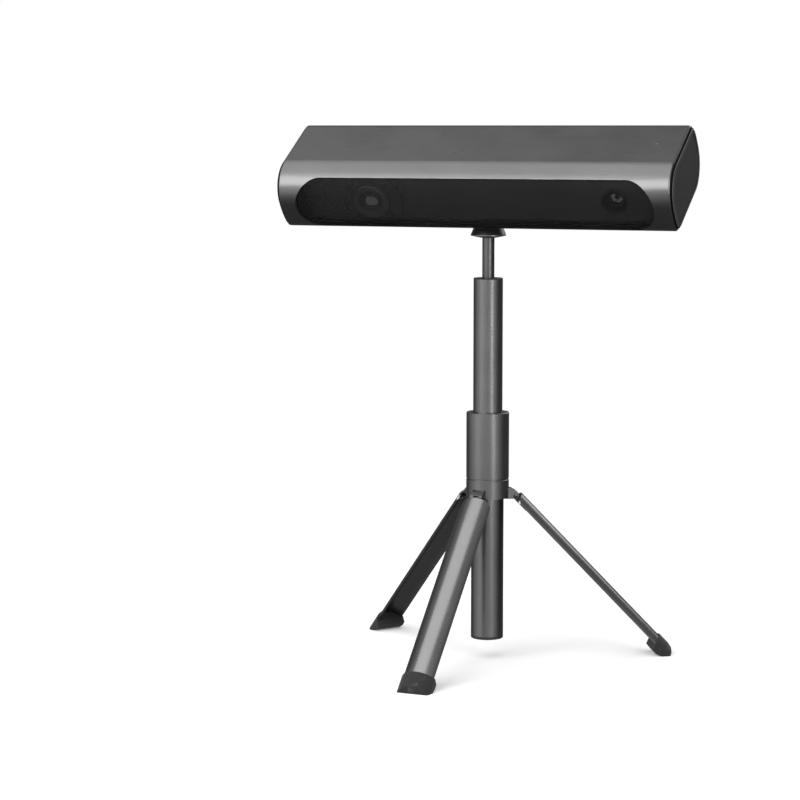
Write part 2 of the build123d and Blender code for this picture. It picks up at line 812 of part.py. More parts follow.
def mid_tube_guide():
    """Plug at the foot of the mid tube that slides in the lower tube."""
    top = collar_top - mid_tube_in - inner_gap / 2
    guide = tube(lower_tube_inner - running_gap, 0, top - guide_length, top)
    spigot = tube(mid_tube_inner - running_gap, 0, top - 1, top + guide_length)
    return guide + spigot - tube(rod_radius + 1.0, 0, top - guide_length - 1, top + guide_length + 1)


def lower_tube():
    return tube(lower_tube_radius, lower_tube_inner, lower_tube_bottom, collet_bottom - inner_gap)


def tube_plug():
    """Plug in the foot of the lower tube."""
    lip = tube(lower_tube_radius, 0, lower_tube_bottom - 2.0, lower_tube_bottom - inner_gap / 2)
    lip = fillet(lip.faces().sort_by(Axis.Z)[0].edges(), 0.8)
    return lip + tube(lower_tube_inner - running_gap, 0, lower_tube_bottom - 1.0, lower_tube_bottom + 6.0)


def tube_collet():
    """Split ring that grips the mid tube when the collar is turned."""
    bottom = collet_bottom
    top = collet_bottom + collet_height
    inner = mid_tube_radius + running_gap
    wide = lower_tube_radius + 1.54
    ring = turned((inner, bottom), (wide, bottom), (wide, bottom + 2.0), (wide - 1.0, top), (inner, top))
    return ring - block((-0.6, 0.6), (0, 20), (bottom - 1, top + 1))


def lock_collar():
    bottom = collar_bottom + groove_height / 2
    spigot_top = collar_bottom + spigot_height + 0.5
    bore = lower_tube_radius + collar_wall_gap
    mouth = mid_tube_radius + tube_slack
    cone = lower_tube_radius + 1.84
    collet_low = collet_bottom - inner_gap
    cone_top = collet_bottom + collet_height + inner_gap
    return turned(
        (spigot_radius + 0.1, bottom),
        (hub_radius - 0.25, bottom),
        (hub_radius, bottom + 0.25),
        (hub_radius, collar_top - 0.4),
        (hub_radius - 0.4, collar_top),
        (mouth, collar_top),
        (mouth, cone_top),
        (cone - 1.0, cone_top),
        (cone, collet_low + 2.0),
        (cone, collet_low),
        (bore, collet_low - 0.5),
        (bore, spigot_top),
        (spigot_radius + 0.1, spigot_top),
    )


# ------------------------------------------------------------------ hub and legs

def ear():
    """Lug for one leg, in the plane of the leg at angle zero."""
    low = pin_z - ear_below_pin
    root = hub_radius - 2.13
    tip = hinge_r + ear_tip_radius
    top = pin_z + ear_tip_radius - 0.1
    plane = Plane((0, 0, 0), x_dir=(1, 0, 0), z_dir=(0, -1, 0))
    lines = [
        Line((root, low), (tip - 0.9, low)),
        ThreePointArc((tip - 0.9, low), (tip - 0.2, low + 0.8), (tip, pin_z)),
        Line((tip, pin_z), (tip - 0.1, top)),
        ThreePointArc((tip - 0.1, top), (hinge_r, pin_z + 3.6), (hub_radius, pin_z + 5.2)),
        Line((hub_radius, pin_z + 5.2), (root, pin_z + 5.2)),
        Line((root, pin_z + 5.2), (root, low)),
    ]
    return extrude(plane * make_face(lines), ear_width / 2, both=True)


def ear_slot():
    """Gap for the leg's tongue: open to the tip and downwards, closed on top."""
    half = tongue_width / 2 + ear_slot_gap
    inner = hinge_r - tongue_radius - 0.3
    top = pin_z + tongue_radius + 0.25
    slot = block((inner, hinge_r + 10), (-half, half), (pin_z - 10, top))
    return slot


def hub():
    top = collar_bottom - groove_height / 2
    body = tube(hub_radius, 0, hub_bottom, top)
    body = chamfer(body.faces().sort_by(Axis.Z)[-1].edges(), 0.25)
    for angle in leg_angles:
        body += Rot(0, 0, angle) * ear()
    body += tube(hub_radius - groove_depth, 0, top - 0.5, collar_bottom + groove_height / 2 - inner_gap / 2)
    body += tube(spigot_radius, 0, top, collar_bottom + spigot_height)
    for angle in leg_angles:
        body -= Rot(0, 0, angle) * ear_slot()
        body -= Rot(0, 0, angle) * pin_shape(0.0)
    return body - tube(lower_tube_radius + running_gap, 0, hub_bottom - 10, collar_top)


def pin_shape(grow):
    """Hinge pin across the ear, at angle zero."""
    disc = Plane((hinge_r, 0, pin_z), x_dir=(1, 0, 0), z_dir=(0, 1, 0)) * Circle(pin_radius + grow)
    return extrude(disc, ear_width / 2 + 0.2, both=True)


def hinge_pins():
    return Compound(children=[Rot(0, 0, angle) * pin_shape(-0.02) for angle in leg_angles])


def leg_point(along, up):
    """Place in the leg's plane, from the hinge pin."""
    x = hinge_r + along * sin(splay) + up * cos(splay)
    return (x, 0, pin_z - along * cos(splay) + up * sin(splay))


def section_plane(along):
    """Plane across the leg, with Y away from the floor side."""
    return Plane(leg_point(along, 0), x_dir=(0, 1, 0), z_dir=(sin(splay), 0, -cos(splay)))


def leg_arc(grow_out, grow_in):
    """Curved section of a leg, thickened outwards and inwards."""
    centre = leg_apex - leg_radius
    arc = Circle(leg_radius + grow_out) - Circle(leg_radius - leg_wall - grow_in)
    clip = Pos(0, leg_radius - leg_depth / 2 + 5 - grow_in / 2) * Rectangle(60, leg_depth + 10 + grow_in)
    return Pos(0, centre) * (arc & clip)


def leg_length():
    return leg_reach - leg_end_gap - leg_start


def leg_shell():
    channel = extrude(section_plane(leg_start) * leg_arc(0, 0), leg_length())
    wide = leg_radius
    narrow = ear_width / 2 + 0.3
    full = leg_start + shoulder_length
    flat = Plane((hinge_r, 0, pin_z), x_dir=(0, 1, 0), z_dir=(cos(splay), 0, sin(splay)))
    edge = sqrt(leg_radius ** 2 - (leg_radius - leg_depth) ** 2)
    half = [(narrow, -leg_start), (edge - 1.0, -leg_start - shoulder_length * 0.35), (edge + 0.1, -full)]
    lines = [
        ThreePointArc(*half),
        Line(half[2], (wide, -full)),
        Line((wide, -full), (wide, -leg_reach)),
        Line((wide, -leg_reach), (-wide, -leg_reach)),
        Line((-wide, -leg_reach), (-wide, -full)),
        Line((-wide, -full), (-half[2][0], -full)),
        ThreePointArc(*[(-x, y) for x, y in reversed(half)]),
        Line((-narrow, -leg_start), (narrow, -leg_start)),
    ]
    return channel & extrude(flat * make_face(lines), 20, both=True)


def leg_tongue():
    """Hinge block set into the top of the leg."""
    plane = Plane(leg_point(0, 0), x_dir=(sin(splay), 0, -cos(splay)), z_dir=(0, -1, 0))
    inner_top = leg_apex - leg_wall - 0.25
    lines = Polyline(
        (0, tongue_radius), (leg_start, tongue_radius), (leg_start + 1.6, inner_top), (tongue_length, inner_top),
        (tongue_length, 0.2), (tongue_length - 4, -tongue_radius), (0, -tongue_radius), close=True)
    plate = extrude(plane * make_face(lines), tongue_width / 2, both=True)
    plate += extrude(plane * Circle(tongue_radius), tongue_width / 2, both=True)
    filler = extrude(section_plane(leg_start + 3) * (Pos(0, 1.4) * Rectangle(13, 4)), tongue_length - leg_start - 3)
    centre = Pos(0, leg_apex - leg_radius) * Circle(leg_radius - leg_wall - inner_gap / 2)
    filler &= extrude(section_plane(0) * centre, tongue_length + 5)
    bore = extrude(plane * Circle(pin_radius + running_gap), tongue_width, both=True)
    return plate + filler - bore


def foot():
    """Rubber shoe with a flat sole, a heel and a toe towards the column."""
    plane = Plane((sole_r, 0, 0), x_dir=(1, 0, 0), z_dir=(0, -1, 0))
    toe = [(3.1, 0), (4.2, 1.9), (4.5, 4.8), (2.7, 8.2), (-2.0, 12.9)]
    heel = [(-7.4, 7.6), (-8.8, 4.3), (-6.9, 1.9), (-3.1, 0)]
    shoe = extrude(plane * make_face(Polyline(*toe, *heel, close=True)), foot_half_width, both=True)
    round_top = Pos(0, leg_apex - leg_radius) * Circle(leg_radius + foot_wall)
    shoe &= extrude(section_plane(leg_reach - 40) * round_top, 80)
    pocket = leg_arc(running_gap, running_gap)
    return shoe - extrude(section_plane(leg_start) * pocket, leg_length() + inner_gap)


# ------------------------------------------------------------------ assembly

def stand_pieces():
    pieces = {
        "hub": hub(),
        "hinge_pins": hinge_pins(),
        "lower_tube": lower_tube(),
        "tube_plug": tube_plug(),
        "tube_collet": tube_collet(),
        "lock_collar": lock_collar(),
        "mid_tube": mid_tube(),
        "mid_tube_guide": mid_tube_guide(),
        "rod_bush": rod_bush(),
        "rod": rod(),
        "rod_stop": rod_stop(),
        "ball_cup": ball_cup(),
        "cup_ring": cup_ring(),
        "ball_stud": on_ball(ball_stud()),
        "mount_pad": on_ball(mount_pad()),
    }
    parts = {"leg": leg_shell(), "leg_tongue": leg_tongue(), "foot": foot()}
    for name, angle in zip(leg_names, leg_angles):
        for kind, piece in parts.items():
            pieces[f"{kind}_{name}"] = Rot(0, 0, angle) * piece
    return pieces


def bar_pieces():
    shell = covers_shell()
    pieces = {
        "front_cover": front_cover(shell),
        "rear_cover": rear_cover(shell),
        "window_glass": window_glass(),
        "window_gasket": window_gasket(),
        "light_baffle": light_baffle(),
        "projector_bezel": projector_bezel(),
        "bezel_screws": bezel_screws(),
        "projector_barrel": projector_barrel(),
        "projector_glass": projector_glass(),
        "projector_module": projector_module(),
        "camera_liner": camera_liner(),
        "camera_barrel": camera_barrel(),
        "camera_glass": camera_glass(),
        "camera_board": camera_board(),
        "camera_flex": camera_flex(),
        "chassis": chassis(),
        "cover_screws": cover_screws(),
        "board_posts": board_posts(),
        "main_board": main_board(),
        "heat_sink": heat_sink(),
        "fan_frame": fan_frame(),
        "fan_rotor": fan_rotor(),
        "usb_socket": usb_socket(),
        "power_socket": power_socket(),
        "scan_button": scan_button(),
        "button_spring": button_spring(),
        "button_board": button_board(),
        "status_light": status_light(),
        "tripod_insert": tripod_insert(),
    }
    for kind, piece in {"end_cap": end_cap(), "end_panel": end_panel(), "end_gasket": end_gasket()}.items():
        pieces[f"{kind}_right"] = piece
        pieces[f"{kind}_left"] = mirror(piece, about=Plane.YZ)
    return {name: bar_place * piece for name, piece in pieces.items()}


os.makedirs("parts", exist_ok=True)
pieces = {**stand_pieces(), **bar_pieces()}
boxes = [piece.bounding_box() for piece in pieces.values()]
column_y = -(min(box.min.Y for box in boxes) + max(box.max.Y for box in boxes)) / 2
for name, piece in pieces.items():
    export_step(Pos(0, column_y, 0) * piece, f"parts/{name}.step")
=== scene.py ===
import bmesh
import bpy
import json
import math
from mathutils import Matrix, Vector


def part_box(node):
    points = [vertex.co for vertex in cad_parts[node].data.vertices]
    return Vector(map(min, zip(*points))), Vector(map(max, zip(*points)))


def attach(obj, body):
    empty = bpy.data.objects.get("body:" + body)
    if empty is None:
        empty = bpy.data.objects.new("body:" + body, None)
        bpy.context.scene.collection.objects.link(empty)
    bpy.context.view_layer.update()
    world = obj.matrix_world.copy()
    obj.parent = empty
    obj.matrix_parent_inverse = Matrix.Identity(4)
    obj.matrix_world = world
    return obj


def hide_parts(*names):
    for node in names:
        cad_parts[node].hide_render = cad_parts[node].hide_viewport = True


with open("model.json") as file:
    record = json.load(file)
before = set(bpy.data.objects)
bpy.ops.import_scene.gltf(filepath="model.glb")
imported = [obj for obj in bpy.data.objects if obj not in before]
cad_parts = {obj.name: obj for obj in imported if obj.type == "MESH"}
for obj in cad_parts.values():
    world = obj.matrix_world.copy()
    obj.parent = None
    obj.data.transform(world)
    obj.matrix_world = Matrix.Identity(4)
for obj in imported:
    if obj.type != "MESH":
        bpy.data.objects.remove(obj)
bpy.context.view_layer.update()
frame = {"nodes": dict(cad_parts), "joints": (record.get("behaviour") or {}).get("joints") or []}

scene = bpy.context.scene
nodes = frame["nodes"]
print("frame loaded:", len(nodes), "nodes")


# places taken from the frame
def middleOf(*names):
    low = Vector((min(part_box(name)[0][i] for name in names) for i in range(3)))
    high = Vector((max(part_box(name)[1][i] for name in names) for i in range(3)))
    return (low + high) / 2


barTilt = math.radians(31.3)  # nose down
barMiddle = middleOf("front_cover", "rear_cover")
barFrame = Matrix.Translation(barMiddle) @ Matrix.Rotation(barTilt, 4, "X")
columnY = middleOf("mid_tube").y

cameraLook = {
    "place": (0.5309, columnY - 1.505, 0.3396),
    "turn": 21.44,  # degrees to the left of straight ahead
    "down": 6.2,
    "lens": 113.3,
    "sensor": 36.0,
}


def makeCamera(look):
    eye = bpy.data.objects.new("studioCamera", bpy.data.cameras.new("studioCamera"))
    eye.data.lens = look["lens"]
    eye.data.sensor_width = look["sensor"]
    eye.data.clip_start = 0.05
    eye.data.clip_end = 30
    eye.location = look["place"]
    eye.rotation_euler = (math.radians(90 - look["down"]), 0, math.radians(look["turn"]))
    scene.collection.objects.link(eye)
    scene.camera = eye


makeCamera(cameraLook)
print("camera ready")


class Reading:
    # one output of a node, so that shader maths reads as ordinary Python
    def __init__(self, finish, socket):
        self.finish = finish
        self.socket = socket

    def __add__(self, other):
        return self.finish.maths("ADD", self, other)

    def __radd__(self, other):
        return self.finish.maths("ADD", other, self)

    def __sub__(self, other):
        return self.finish.maths("SUBTRACT", self, other)

    def __rsub__(self, other):
        return self.finish.maths("SUBTRACT", other, self)

    def __mul__(self, other):
        return self.finish.maths("MULTIPLY", self, other)

    def __rmul__(self, other):
        return self.finish.maths("MULTIPLY", other, self)


class Finish:
    # nodes under construction, in a new material unless a tree is handed over
    def __init__(self, name, tree=None):
        if tree is None:
            self.material = bpy.data.materials.new(name)
            self.material.use_nodes = True
            tree = self.material.node_tree
        self.tree = tree
        self.tree.nodes.clear()

    def node(self, kind, settings=None, values=None, result=0):
        made = self.tree.nodes.new(kind)
        for name, setting in (settings or {}).items():
            setattr(made, name, setting)
        for name, value in (values or {}).items():
            if isinstance(value, Reading):
                self.tree.links.new(value.socket, made.inputs[name])
            else:
                made.inputs[name].default_value = value
        return Reading(self, made.outputs[result]) if made.outputs else None

    def maths(self, operation, first, second):
        return self.node("ShaderNodeMath", {"operation": operation}, {0: first, 1: second})

    def place(self, stretch=(1, 1, 1)):
        here = self.node("ShaderNodeTexCoord", result="Object")
        return self.node("ShaderNodeMapping", {}, {"Vector": here, "Scale": stretch})

    def placeParts(self, place):
        split = self.node("ShaderNodeSeparateXYZ", {}, {"Vector": place}).socket.node
        return [Reading(self, split.outputs[i]) for i in range(3)]

    def noise(self, scale, detail=3, rough=0.5, stretch=(1, 1, 1)):
        values = {"Vector": self.place(stretch), "Scale": scale, "Detail": detail, "Roughness": rough}
        return self.node("ShaderNodeTexNoise", {}, values, "Fac")

    def cells(self, scale):
        values = {"Vector": self.place(), "Scale": scale}
        return self.node("ShaderNodeTexVoronoi", {"feature": "F1"}, values, "Distance")

    def bands(self, direction, values):
        settings = {"wave_type": "BANDS", "bands_direction": direction}
        return self.node("ShaderNodeTexWave", settings, {"Vector": self.place()} | values, "Fac")

    def spread(self, value, low, high, newLow=0.0, newHigh=1.0):
        values = {"Value": value, "From Min": low, "From Max": high,
                  "To Min": newLow, "To Max": newHigh}
        return self.node("ShaderNodeMapRange", {"clamp": True}, values)

    def mixColour(self, share, first, second):
        settings = {"data_type": "RGBA", "blend_type": "MIX"}
        return self.node("ShaderNodeMix", settings, {0: share, 6: first, 7: second}, 2)

    def edges(self, radius):
        # 1 along the outside edges, from how far a rounded normal leans off the plain one
        rounded = self.node("ShaderNodeBevel", {"samples": 4}, {"Radius": radius})
        plain = self.node("ShaderNodeNewGeometry", result="Normal")
        settings = {"operation": "DOT_PRODUCT"}
        facing = self.node("ShaderNodeVectorMath", settings, {0: rounded, 1: plain}, "Value")
        return self.spread(1 - facing, 0.02, 0.25)

    def bump(self, height, distance, strength):
        values = {"Height": height, "Distance": distance, "Strength": strength}
        return self.node("ShaderNodeBump", {}, values)

    def surface(self, **sockets):
        names = {"colour": "Base Color", "roughness": "Roughness", "metal": "Metallic", "normal": "Normal",
                 "coat": "Coat Weight", "coatRoughness": "Coat Roughness", "alpha": "Alpha",
                 "specular": "Specular IOR Level", "ior": "IOR", "sheen": "Sheen Weight",
                 "glow": "Emission Color", "glowStrength": "Emission Strength",
                 "scatter": "Subsurface Weight", "scatterScale": "Subsurface Scale"}
        values = {names[key]: value for key, value in sockets.items()}
        shader = self.node("ShaderNodeBsdfPrincipled", {}, values)
        self.node("ShaderNodeOutputMaterial", {}, {"Surface": shader})
        return self.material


def grey(level, warm=0.0):
    # grey by its screen level, 0 to 1, a little warm or cold
    linear = level ** 2.2
    return (linear * (1 + warm), linear, linear * (1 - warm), 1.0)


def satinMetal(name, look):
    # blasted and anodised or plated metal: drifting tone, fine grain, edges lightened partly as rubbed wear
    # and partly as a painted highlight
    finish = Finish(name)
    drift = finish.noise(22, 3, 0.55)
    grain = finish.noise(look["grainScale"], 3, 0.6, look.get("stretch", (1, 1, 1)))
    tone = finish.spread(drift * 0.55 + grain * 0.45, 0.32, 0.68)
    if "streak" in look:
        lines = finish.noise(look["streakScale"], 3, 0.7, look["streakStretch"])
        tone = tone + (lines - 0.5) * look["streak"]
    colour = finish.mixColour(tone, look["dark"], look["light"])
    patch = finish.spread(finish.noise(260, 4, 0.65), 0.42, 0.62)
    # edge lightening: partly rubbed wear, partly a painted highlight along the bevels
    wornAndHighlitEdge = finish.edges(look["edge"]) * patch * look["wearAndHighlight"]
    colour = finish.mixColour(wornAndHighlitEdge, colour, look["wornAndHighlitEdge"])
    smudge = finish.spread(finish.noise(38, 4, 0.6), 0.35, 0.7, -0.5, 0.5)
    rough = look["rough"] + (grain - 0.5) * look.get("roughGrain", 0.12) + smudge * 0.05
    normal = finish.bump(grain, look["bump"], 0.35)
    return finish.surface(colour=colour, roughness=rough, normal=normal, metal=look.get("metal", 1.0),
                          specular=0.5)


# each look's edge colour lightens the edges: partly rubbed wear, partly a painted highlight
housingLook = {
    "dark": grey(0.385), "light": grey(0.425), "wornAndHighlitEdge": grey(0.62), "edge": 0.0005,
    "grainScale": 2600, "stretch": (0.05, 1, 1), "bump": 0.00002, "rough": 0.31, "roughGrain": 0.10,
    "wearAndHighlight": 0.35, "streak": 0.5, "streakScale": 330, "streakStretch": (0.012, 1, 1),
}
standLook = {
    "dark": grey(0.41), "light": grey(0.46), "wornAndHighlitEdge": grey(0.66), "edge": 0.0004,
    "grainScale": 2400, "stretch": (1, 1, 0.04), "bump": 0.00002, "rough": 0.34, "wearAndHighlight": 0.4,
}
rodLook = {
    "dark": grey(0.33), "light": grey(0.38), "wornAndHighlitEdge": grey(0.62), "edge": 0.0003,
    "grainScale": 3000, "stretch": (1, 1, 0.03), "bump": 0.000012, "rough": 0.31, "wearAndHighlight": 0.4,
}
legLook = {
    "dark": grey(0.47), "light": grey(0.52), "wornAndHighlitEdge": grey(0.62), "edge": 0.00025,
    "grainScale": 2300, "bump": 0.00002, "rough": 0.27, "wearAndHighlight": 0.2,
}
pinLook = {
    "dark": grey(0.26), "light": grey(0.33), "wornAndHighlitEdge": grey(0.5), "edge": 0.0002,
    "grainScale": 3500, "bump": 0.00001, "rough": 0.28, "wearAndHighlight": 0.5,
}
barrelLook = {
    "dark": grey(0.2), "light": grey(0.24), "wornAndHighlitEdge": grey(0.4), "edge": 0.0002,
    "grainScale": 3200, "bump": 0.00001, "rough": 0.42, "wearAndHighlight": 0.5, "metal": 0.2,
}
darkBarrelLook = {
    "dark": grey(0.06), "light": grey(0.085), "wornAndHighlitEdge": grey(0.2), "edge": 0.0002,
    "grainScale": 3200, "bump": 0.00001, "rough": 0.5, "wearAndHighlight": 0.3, "metal": 0.2,
}
# near-white iris leaves: partly bright steel, partly painted reflections in the camera lens
irisAndGlintLook = {
    "dark": grey(0.6), "light": grey(0.86), "wornAndHighlitEdge": grey(0.95), "edge": 0.0001,
    "grainScale": 2600, "bump": 0.00001, "rough": 0.3, "wearAndHighlight": 0.5, "metal": 0.3,
}
engineLook = {
    "dark": grey(0.55, 0.01), "light": grey(0.66, 0.01), "wornAndHighlitEdge": grey(0.78), "edge": 0.0004,
    "grainScale": 900, "bump": 0.00006, "rough": 0.48, "wearAndHighlight": 0.4,
}
trayLook = {
    "dark": grey(0.62, 0.01), "light": grey(0.70, 0.01), "wornAndHighlitEdge": grey(0.8), "edge": 0.0003,
    "grainScale": 1200, "stretch": (0.05, 1, 1), "bump": 0.00002, "rough": 0.38, "wearAndHighlight": 0.3,
}
brassLook = {
    "dark": (0.50, 0.30, 0.09, 1), "light": (0.68, 0.43, 0.15, 1), "wornAndHighlitEdge": (0.85, 0.62, 0.28, 1),
    "edge": 0.0002, "grainScale": 2600, "bump": 0.00001, "rough": 0.28, "wearAndHighlight": 0.5,
}
socketLook = {
    "dark": grey(0.66), "light": grey(0.74), "wornAndHighlitEdge": grey(0.85), "edge": 0.0002,
    "grainScale": 3400, "bump": 0.00001, "rough": 0.26, "wearAndHighlight": 0.4,
}
springLook = {
    "dark": grey(0.52), "light": grey(0.64), "wornAndHighlitEdge": grey(0.8), "edge": 0.0001,
    "grainScale": 4200, "bump": 0.00001, "rough": 0.3, "wearAndHighlight": 0.3,
}
screwLook = {
    "dark": grey(0.16), "light": grey(0.22), "wornAndHighlitEdge": grey(0.5), "edge": 0.0002,
    "grainScale": 3000, "bump": 0.00002, "rough": 0.4, "wearAndHighlight": 0.5, "metal": 0.9,
}
goldLook = {
    "dark": (0.72, 0.46, 0.12, 1), "light": (0.88, 0.62, 0.22, 1), "wornAndHighlitEdge": (0.9, 0.7, 0.3, 1),
    "edge": 0.00005, "grainScale": 5000, "bump": 0.000005, "rough": 0.2, "wearAndHighlight": 0.3,
}


def mouldedPlastic(name, look):
    # textured moulded surface: fine pebble, slight tone drift, edges lightened partly as rubbed wear and
    # partly as a painted highlight on the bevel
    finish = Finish(name)
    drift = finish.noise(30, 3, 0.5)
    pebble = finish.cells(look["pebbleScale"])
    fine = finish.noise(look["pebbleScale"] * 2.3, 3, 0.6)
    tone = finish.spread(drift * 0.6 + fine * 0.4, 0.34, 0.66)
    colour = finish.mixColour(tone, look["dark"], look["light"])
    # edge lightening: partly rubbed wear, partly a painted highlight along the bevels
    rubbedAndHighlit = finish.edges(look["edge"]) * look.get("wearAndHighlight", 0.4)
    colour = finish.mixColour(rubbedAndHighlit, colour, look["wornAndHighlitEdge"])
    dust = finish.spread(finish.noise(150, 5, 0.7), 0.58, 0.78) * look.get("dust", 0.08)
    colour = finish.mixColour(dust, colour, grey(0.62))
    rough = look["rough"] + (fine - 0.5) * 0.16 - rubbedAndHighlit * 0.12
    normal = finish.bump(pebble * 0.6 + fine * 0.4, look["bump"], 0.5)
    return finish.surface(colour=colour, roughness=rough, normal=normal, specular=look.get("specular", 0.45),
                          sheen=look.get("sheen", 0.0))


# each look's edge colour lightens the edges: partly rubbed wear, partly a painted highlight
blackPlasticLook = {
    "dark": grey(0.15), "light": grey(0.175), "wornAndHighlitEdge": grey(0.28), "edge": 0.0003,
    "pebbleScale": 2600, "bump": 0.00002, "rough": 0.52,
}
blackRubberLook = {
    "dark": grey(0.03), "light": grey(0.045), "wornAndHighlitEdge": grey(0.07), "edge": 0.0003,
    "pebbleScale": 2000, "bump": 0.00003, "rough": 0.85, "specular": 0.12, "dust": 0.03,
}
footRubberLook = {
    "dark": grey(0.1), "light": grey(0.14), "wornAndHighlitEdge": grey(0.24), "edge": 0.0006,
    "pebbleScale": 1500, "bump": 0.00005, "rough": 0.72, "specular": 0.35, "sheen": 0.12,
    "dust": 0.18,
}
capLook = {
    "dark": grey(0.15), "light": grey(0.18), "wornAndHighlitEdge": grey(0.42), "edge": 0.0006,
    "pebbleScale": 2800, "bump": 0.00002, "rough": 0.4, "wearAndHighlight": 0.7,
}
panelLook = {
    "dark": grey(0.13), "light": grey(0.16), "wornAndHighlitEdge": grey(0.3), "edge": 0.0003,
    "pebbleScale": 2300, "bump": 0.00003, "rough": 0.55, "wearAndHighlight": 0.3,
}
buttonLook = {
    "dark": grey(0.2), "light": grey(0.24), "wornAndHighlitEdge": grey(0.36), "edge": 0.0004,
    "pebbleScale": 3000, "bump": 0.000015, "rough": 0.46,
}
nylonLook = {
    "dark": grey(0.6, 0.02), "light": grey(0.68, 0.02), "wornAndHighlitEdge": grey(0.75), "edge": 0.0003,
    "pebbleScale": 1800, "bump": 0.00002, "rough": 0.5, "dust": 0.02,
}


windowLook = {"tint": grey(0.14), "haze": grey(0.155), "cover": 0.3, "rough": 0.12}


def windowPane(name, look):
    # smoked cover glass with a hard coat, faint cleaning haze and a few fine scuffs
    finish = Finish(name)
    haze = finish.spread(finish.noise(26, 4, 0.6), 0.45, 0.75)
    scuff = finish.spread(finish.noise(700, 2, 0.5, (0.06, 1, 1)), 0.66, 0.8)
    colour = finish.mixColour(haze * 0.5 + scuff * 0.3, look["tint"], look["haze"])
    rough = look["rough"] + haze * 0.03 + scuff * 0.1
    return finish.surface(colour=colour, roughness=rough, alpha=look["cover"], specular=0.05, ior=1.4)


lensLook = {"deep": (0.016, 0.017, 0.022, 1), "coatTintAndSheen": (0.07, 0.065, 0.10, 1), "cover": 0.12}


def coatedLens(name, look):
    # lens with a bluish coating; towards its rim the colour is lightened by view angle, partly the coating's
    # tint and partly a painted sheen
    finish = Finish(name)
    # lighter colour towards the rim by view angle: partly the coating's tint, partly a painted sheen
    rim = finish.node("ShaderNodeLayerWeight", {}, {"Blend": 0.35}, "Facing")
    speck = finish.spread(finish.noise(1800, 3, 0.6), 0.68, 0.8)
    colour = finish.mixColour(rim, look["deep"], look["coatTintAndSheen"])
    colour = finish.mixColour(speck * 0.25, colour, grey(0.5))
    return finish.surface(colour=colour, roughness=0.02 + speck * 0.2, alpha=look["cover"],
                          coat=1.0, coatRoughness=0.01, ior=1.6)


boardLook = {
    "mask": (0.006, 0.045, 0.022, 1), "track": (0.012, 0.085, 0.04, 1), "pad": (0.75, 0.66, 0.42, 1),
    "swirl": {"Scale": 240, "Distortion": 7.0, "Detail": 1.0, "Detail Scale": 1.2}, "dotScale": 420,
    "bump": 0.00004,
}


def circuitBoard(name, look):
    # solder mask over copper tracks, with small tinned pads
    finish = Finish(name)
    track = finish.spread(finish.bands("X", look["swirl"]), 0.62, 0.72)
    dots = finish.spread(finish.cells(look["dotScale"]), 0.2, 0.13)
    colour = finish.mixColour(track, look["mask"], look["track"])
    colour = finish.mixColour(dots, colour, look["pad"])
    fine = finish.noise(1500, 3, 0.6)
    normal = finish.bump(track * 0.6 + dots * 0.4 + fine * 0.1, look["bump"], 0.5)
    return finish.surface(colour=colour, roughness=0.32 + fine * 0.12, metal=dots * 0.8, normal=normal)


flexLook = {"film": (0.38, 0.13, 0.02, 1), "copper": (0.62, 0.29, 0.1, 1), "lineScale": 600, "bump": 0.00003}


def flatCable(name, look):
    # amber film over parallel copper lines
    finish = Finish(name)
    stripe = finish.spread(finish.bands("Y", {"Scale": look["lineScale"]}), 0.4, 0.6)
    cloud = finish.noise(90, 3, 0.6)
    colour = finish.mixColour(stripe * 0.75 + cloud * 0.15, look["film"], look["copper"])
    normal = finish.bump(stripe, look["bump"], 0.4)
    return finish.surface(colour=colour, roughness=0.25 + cloud * 0.15, normal=normal, coat=0.4)


pipeLook = {"dark": grey(0.24), "light": grey(0.34)}
# pale tone of the light gate: partly its frosted plastic, partly a painted reflection in the projector lens
gateGlassAndReflectionLook = {"dark": grey(0.34), "light": grey(0.42)}


def frostedPlastic(name, look):
    # frosted clear plastic, unlit
    finish = Finish(name)
    frost = finish.noise(1600, 3, 0.6)
    colour = finish.mixColour(frost, look["dark"], look["light"])
    normal = finish.bump(frost, 0.00002, 0.3)
    return finish.surface(colour=colour, roughness=0.3 + frost * 0.15, normal=normal, scatter=0.3,
                          scatterScale=0.001)


finishes = {
    "cover_metal": satinMetal("anodisedHousing", housingLook),
    "window_glass": windowPane("smokedWindow", windowLook),
    "black_rubber": mouldedPlastic("sealRubber", blackRubberLook),
    "black_plastic": mouldedPlastic("innerPlastic", blackPlasticLook),
    "black_screw": satinMetal("blackScrew", screwLook),
    "barrel_metal": satinMetal("turnedBarrel", barrelLook),
    "lens_glass": coatedLens("coatedLens", lensLook),
    "engine_metal": satinMetal("castEngine", engineLook),
    "circuit_board": circuitBoard("printedBoard", boardLook),
    "flex_cable": flatCable("flatCable", flexLook),
    "chassis_metal": satinMetal("foldedTray", trayLook),
    "brass": satinMetal("threadBrass", brassLook),
    "socket_steel": satinMetal("socketShell", socketLook),
    "button_plastic": mouldedPlastic("buttonCap", buttonLook),
    "spring_steel": satinMetal("springWire", springLook),
    "light_pipe": frostedPlastic("lightPipe", pipeLook),
    "cap_plastic": mouldedPlastic("endCap", capLook),
    "panel_plastic": mouldedPlastic("endPanel", panelLook),
    "stand_metal": satinMetal("anodisedTube", standLook),
    "rod_metal": satinMetal("polishedRod", rodLook),
    "leg_metal": satinMetal("pressedLeg", legLook),
    "pin_steel": satinMetal("hingePin", pinLook),
    "nylon": mouldedPlastic("slideNylon", nylonLook),
    "foot_rubber": mouldedPlastic("footRubber", footRubberLook),
}
gold = satinMetal("platedContact", goldLook)
gateGlassAndReflection = frostedPlastic("frostedGateAndReflection", gateGlassAndReflectionLook)

for node in nodes.values():
    for holder in node.material_slots:
        holder.material = finishes[holder.material.name.split(".")[0]]
nodes["camera_barrel"].material_slots[0].material = satinMetal("blackenedBarrel", darkBarrelLook)
print("finishes on the frame:", len(finishes))


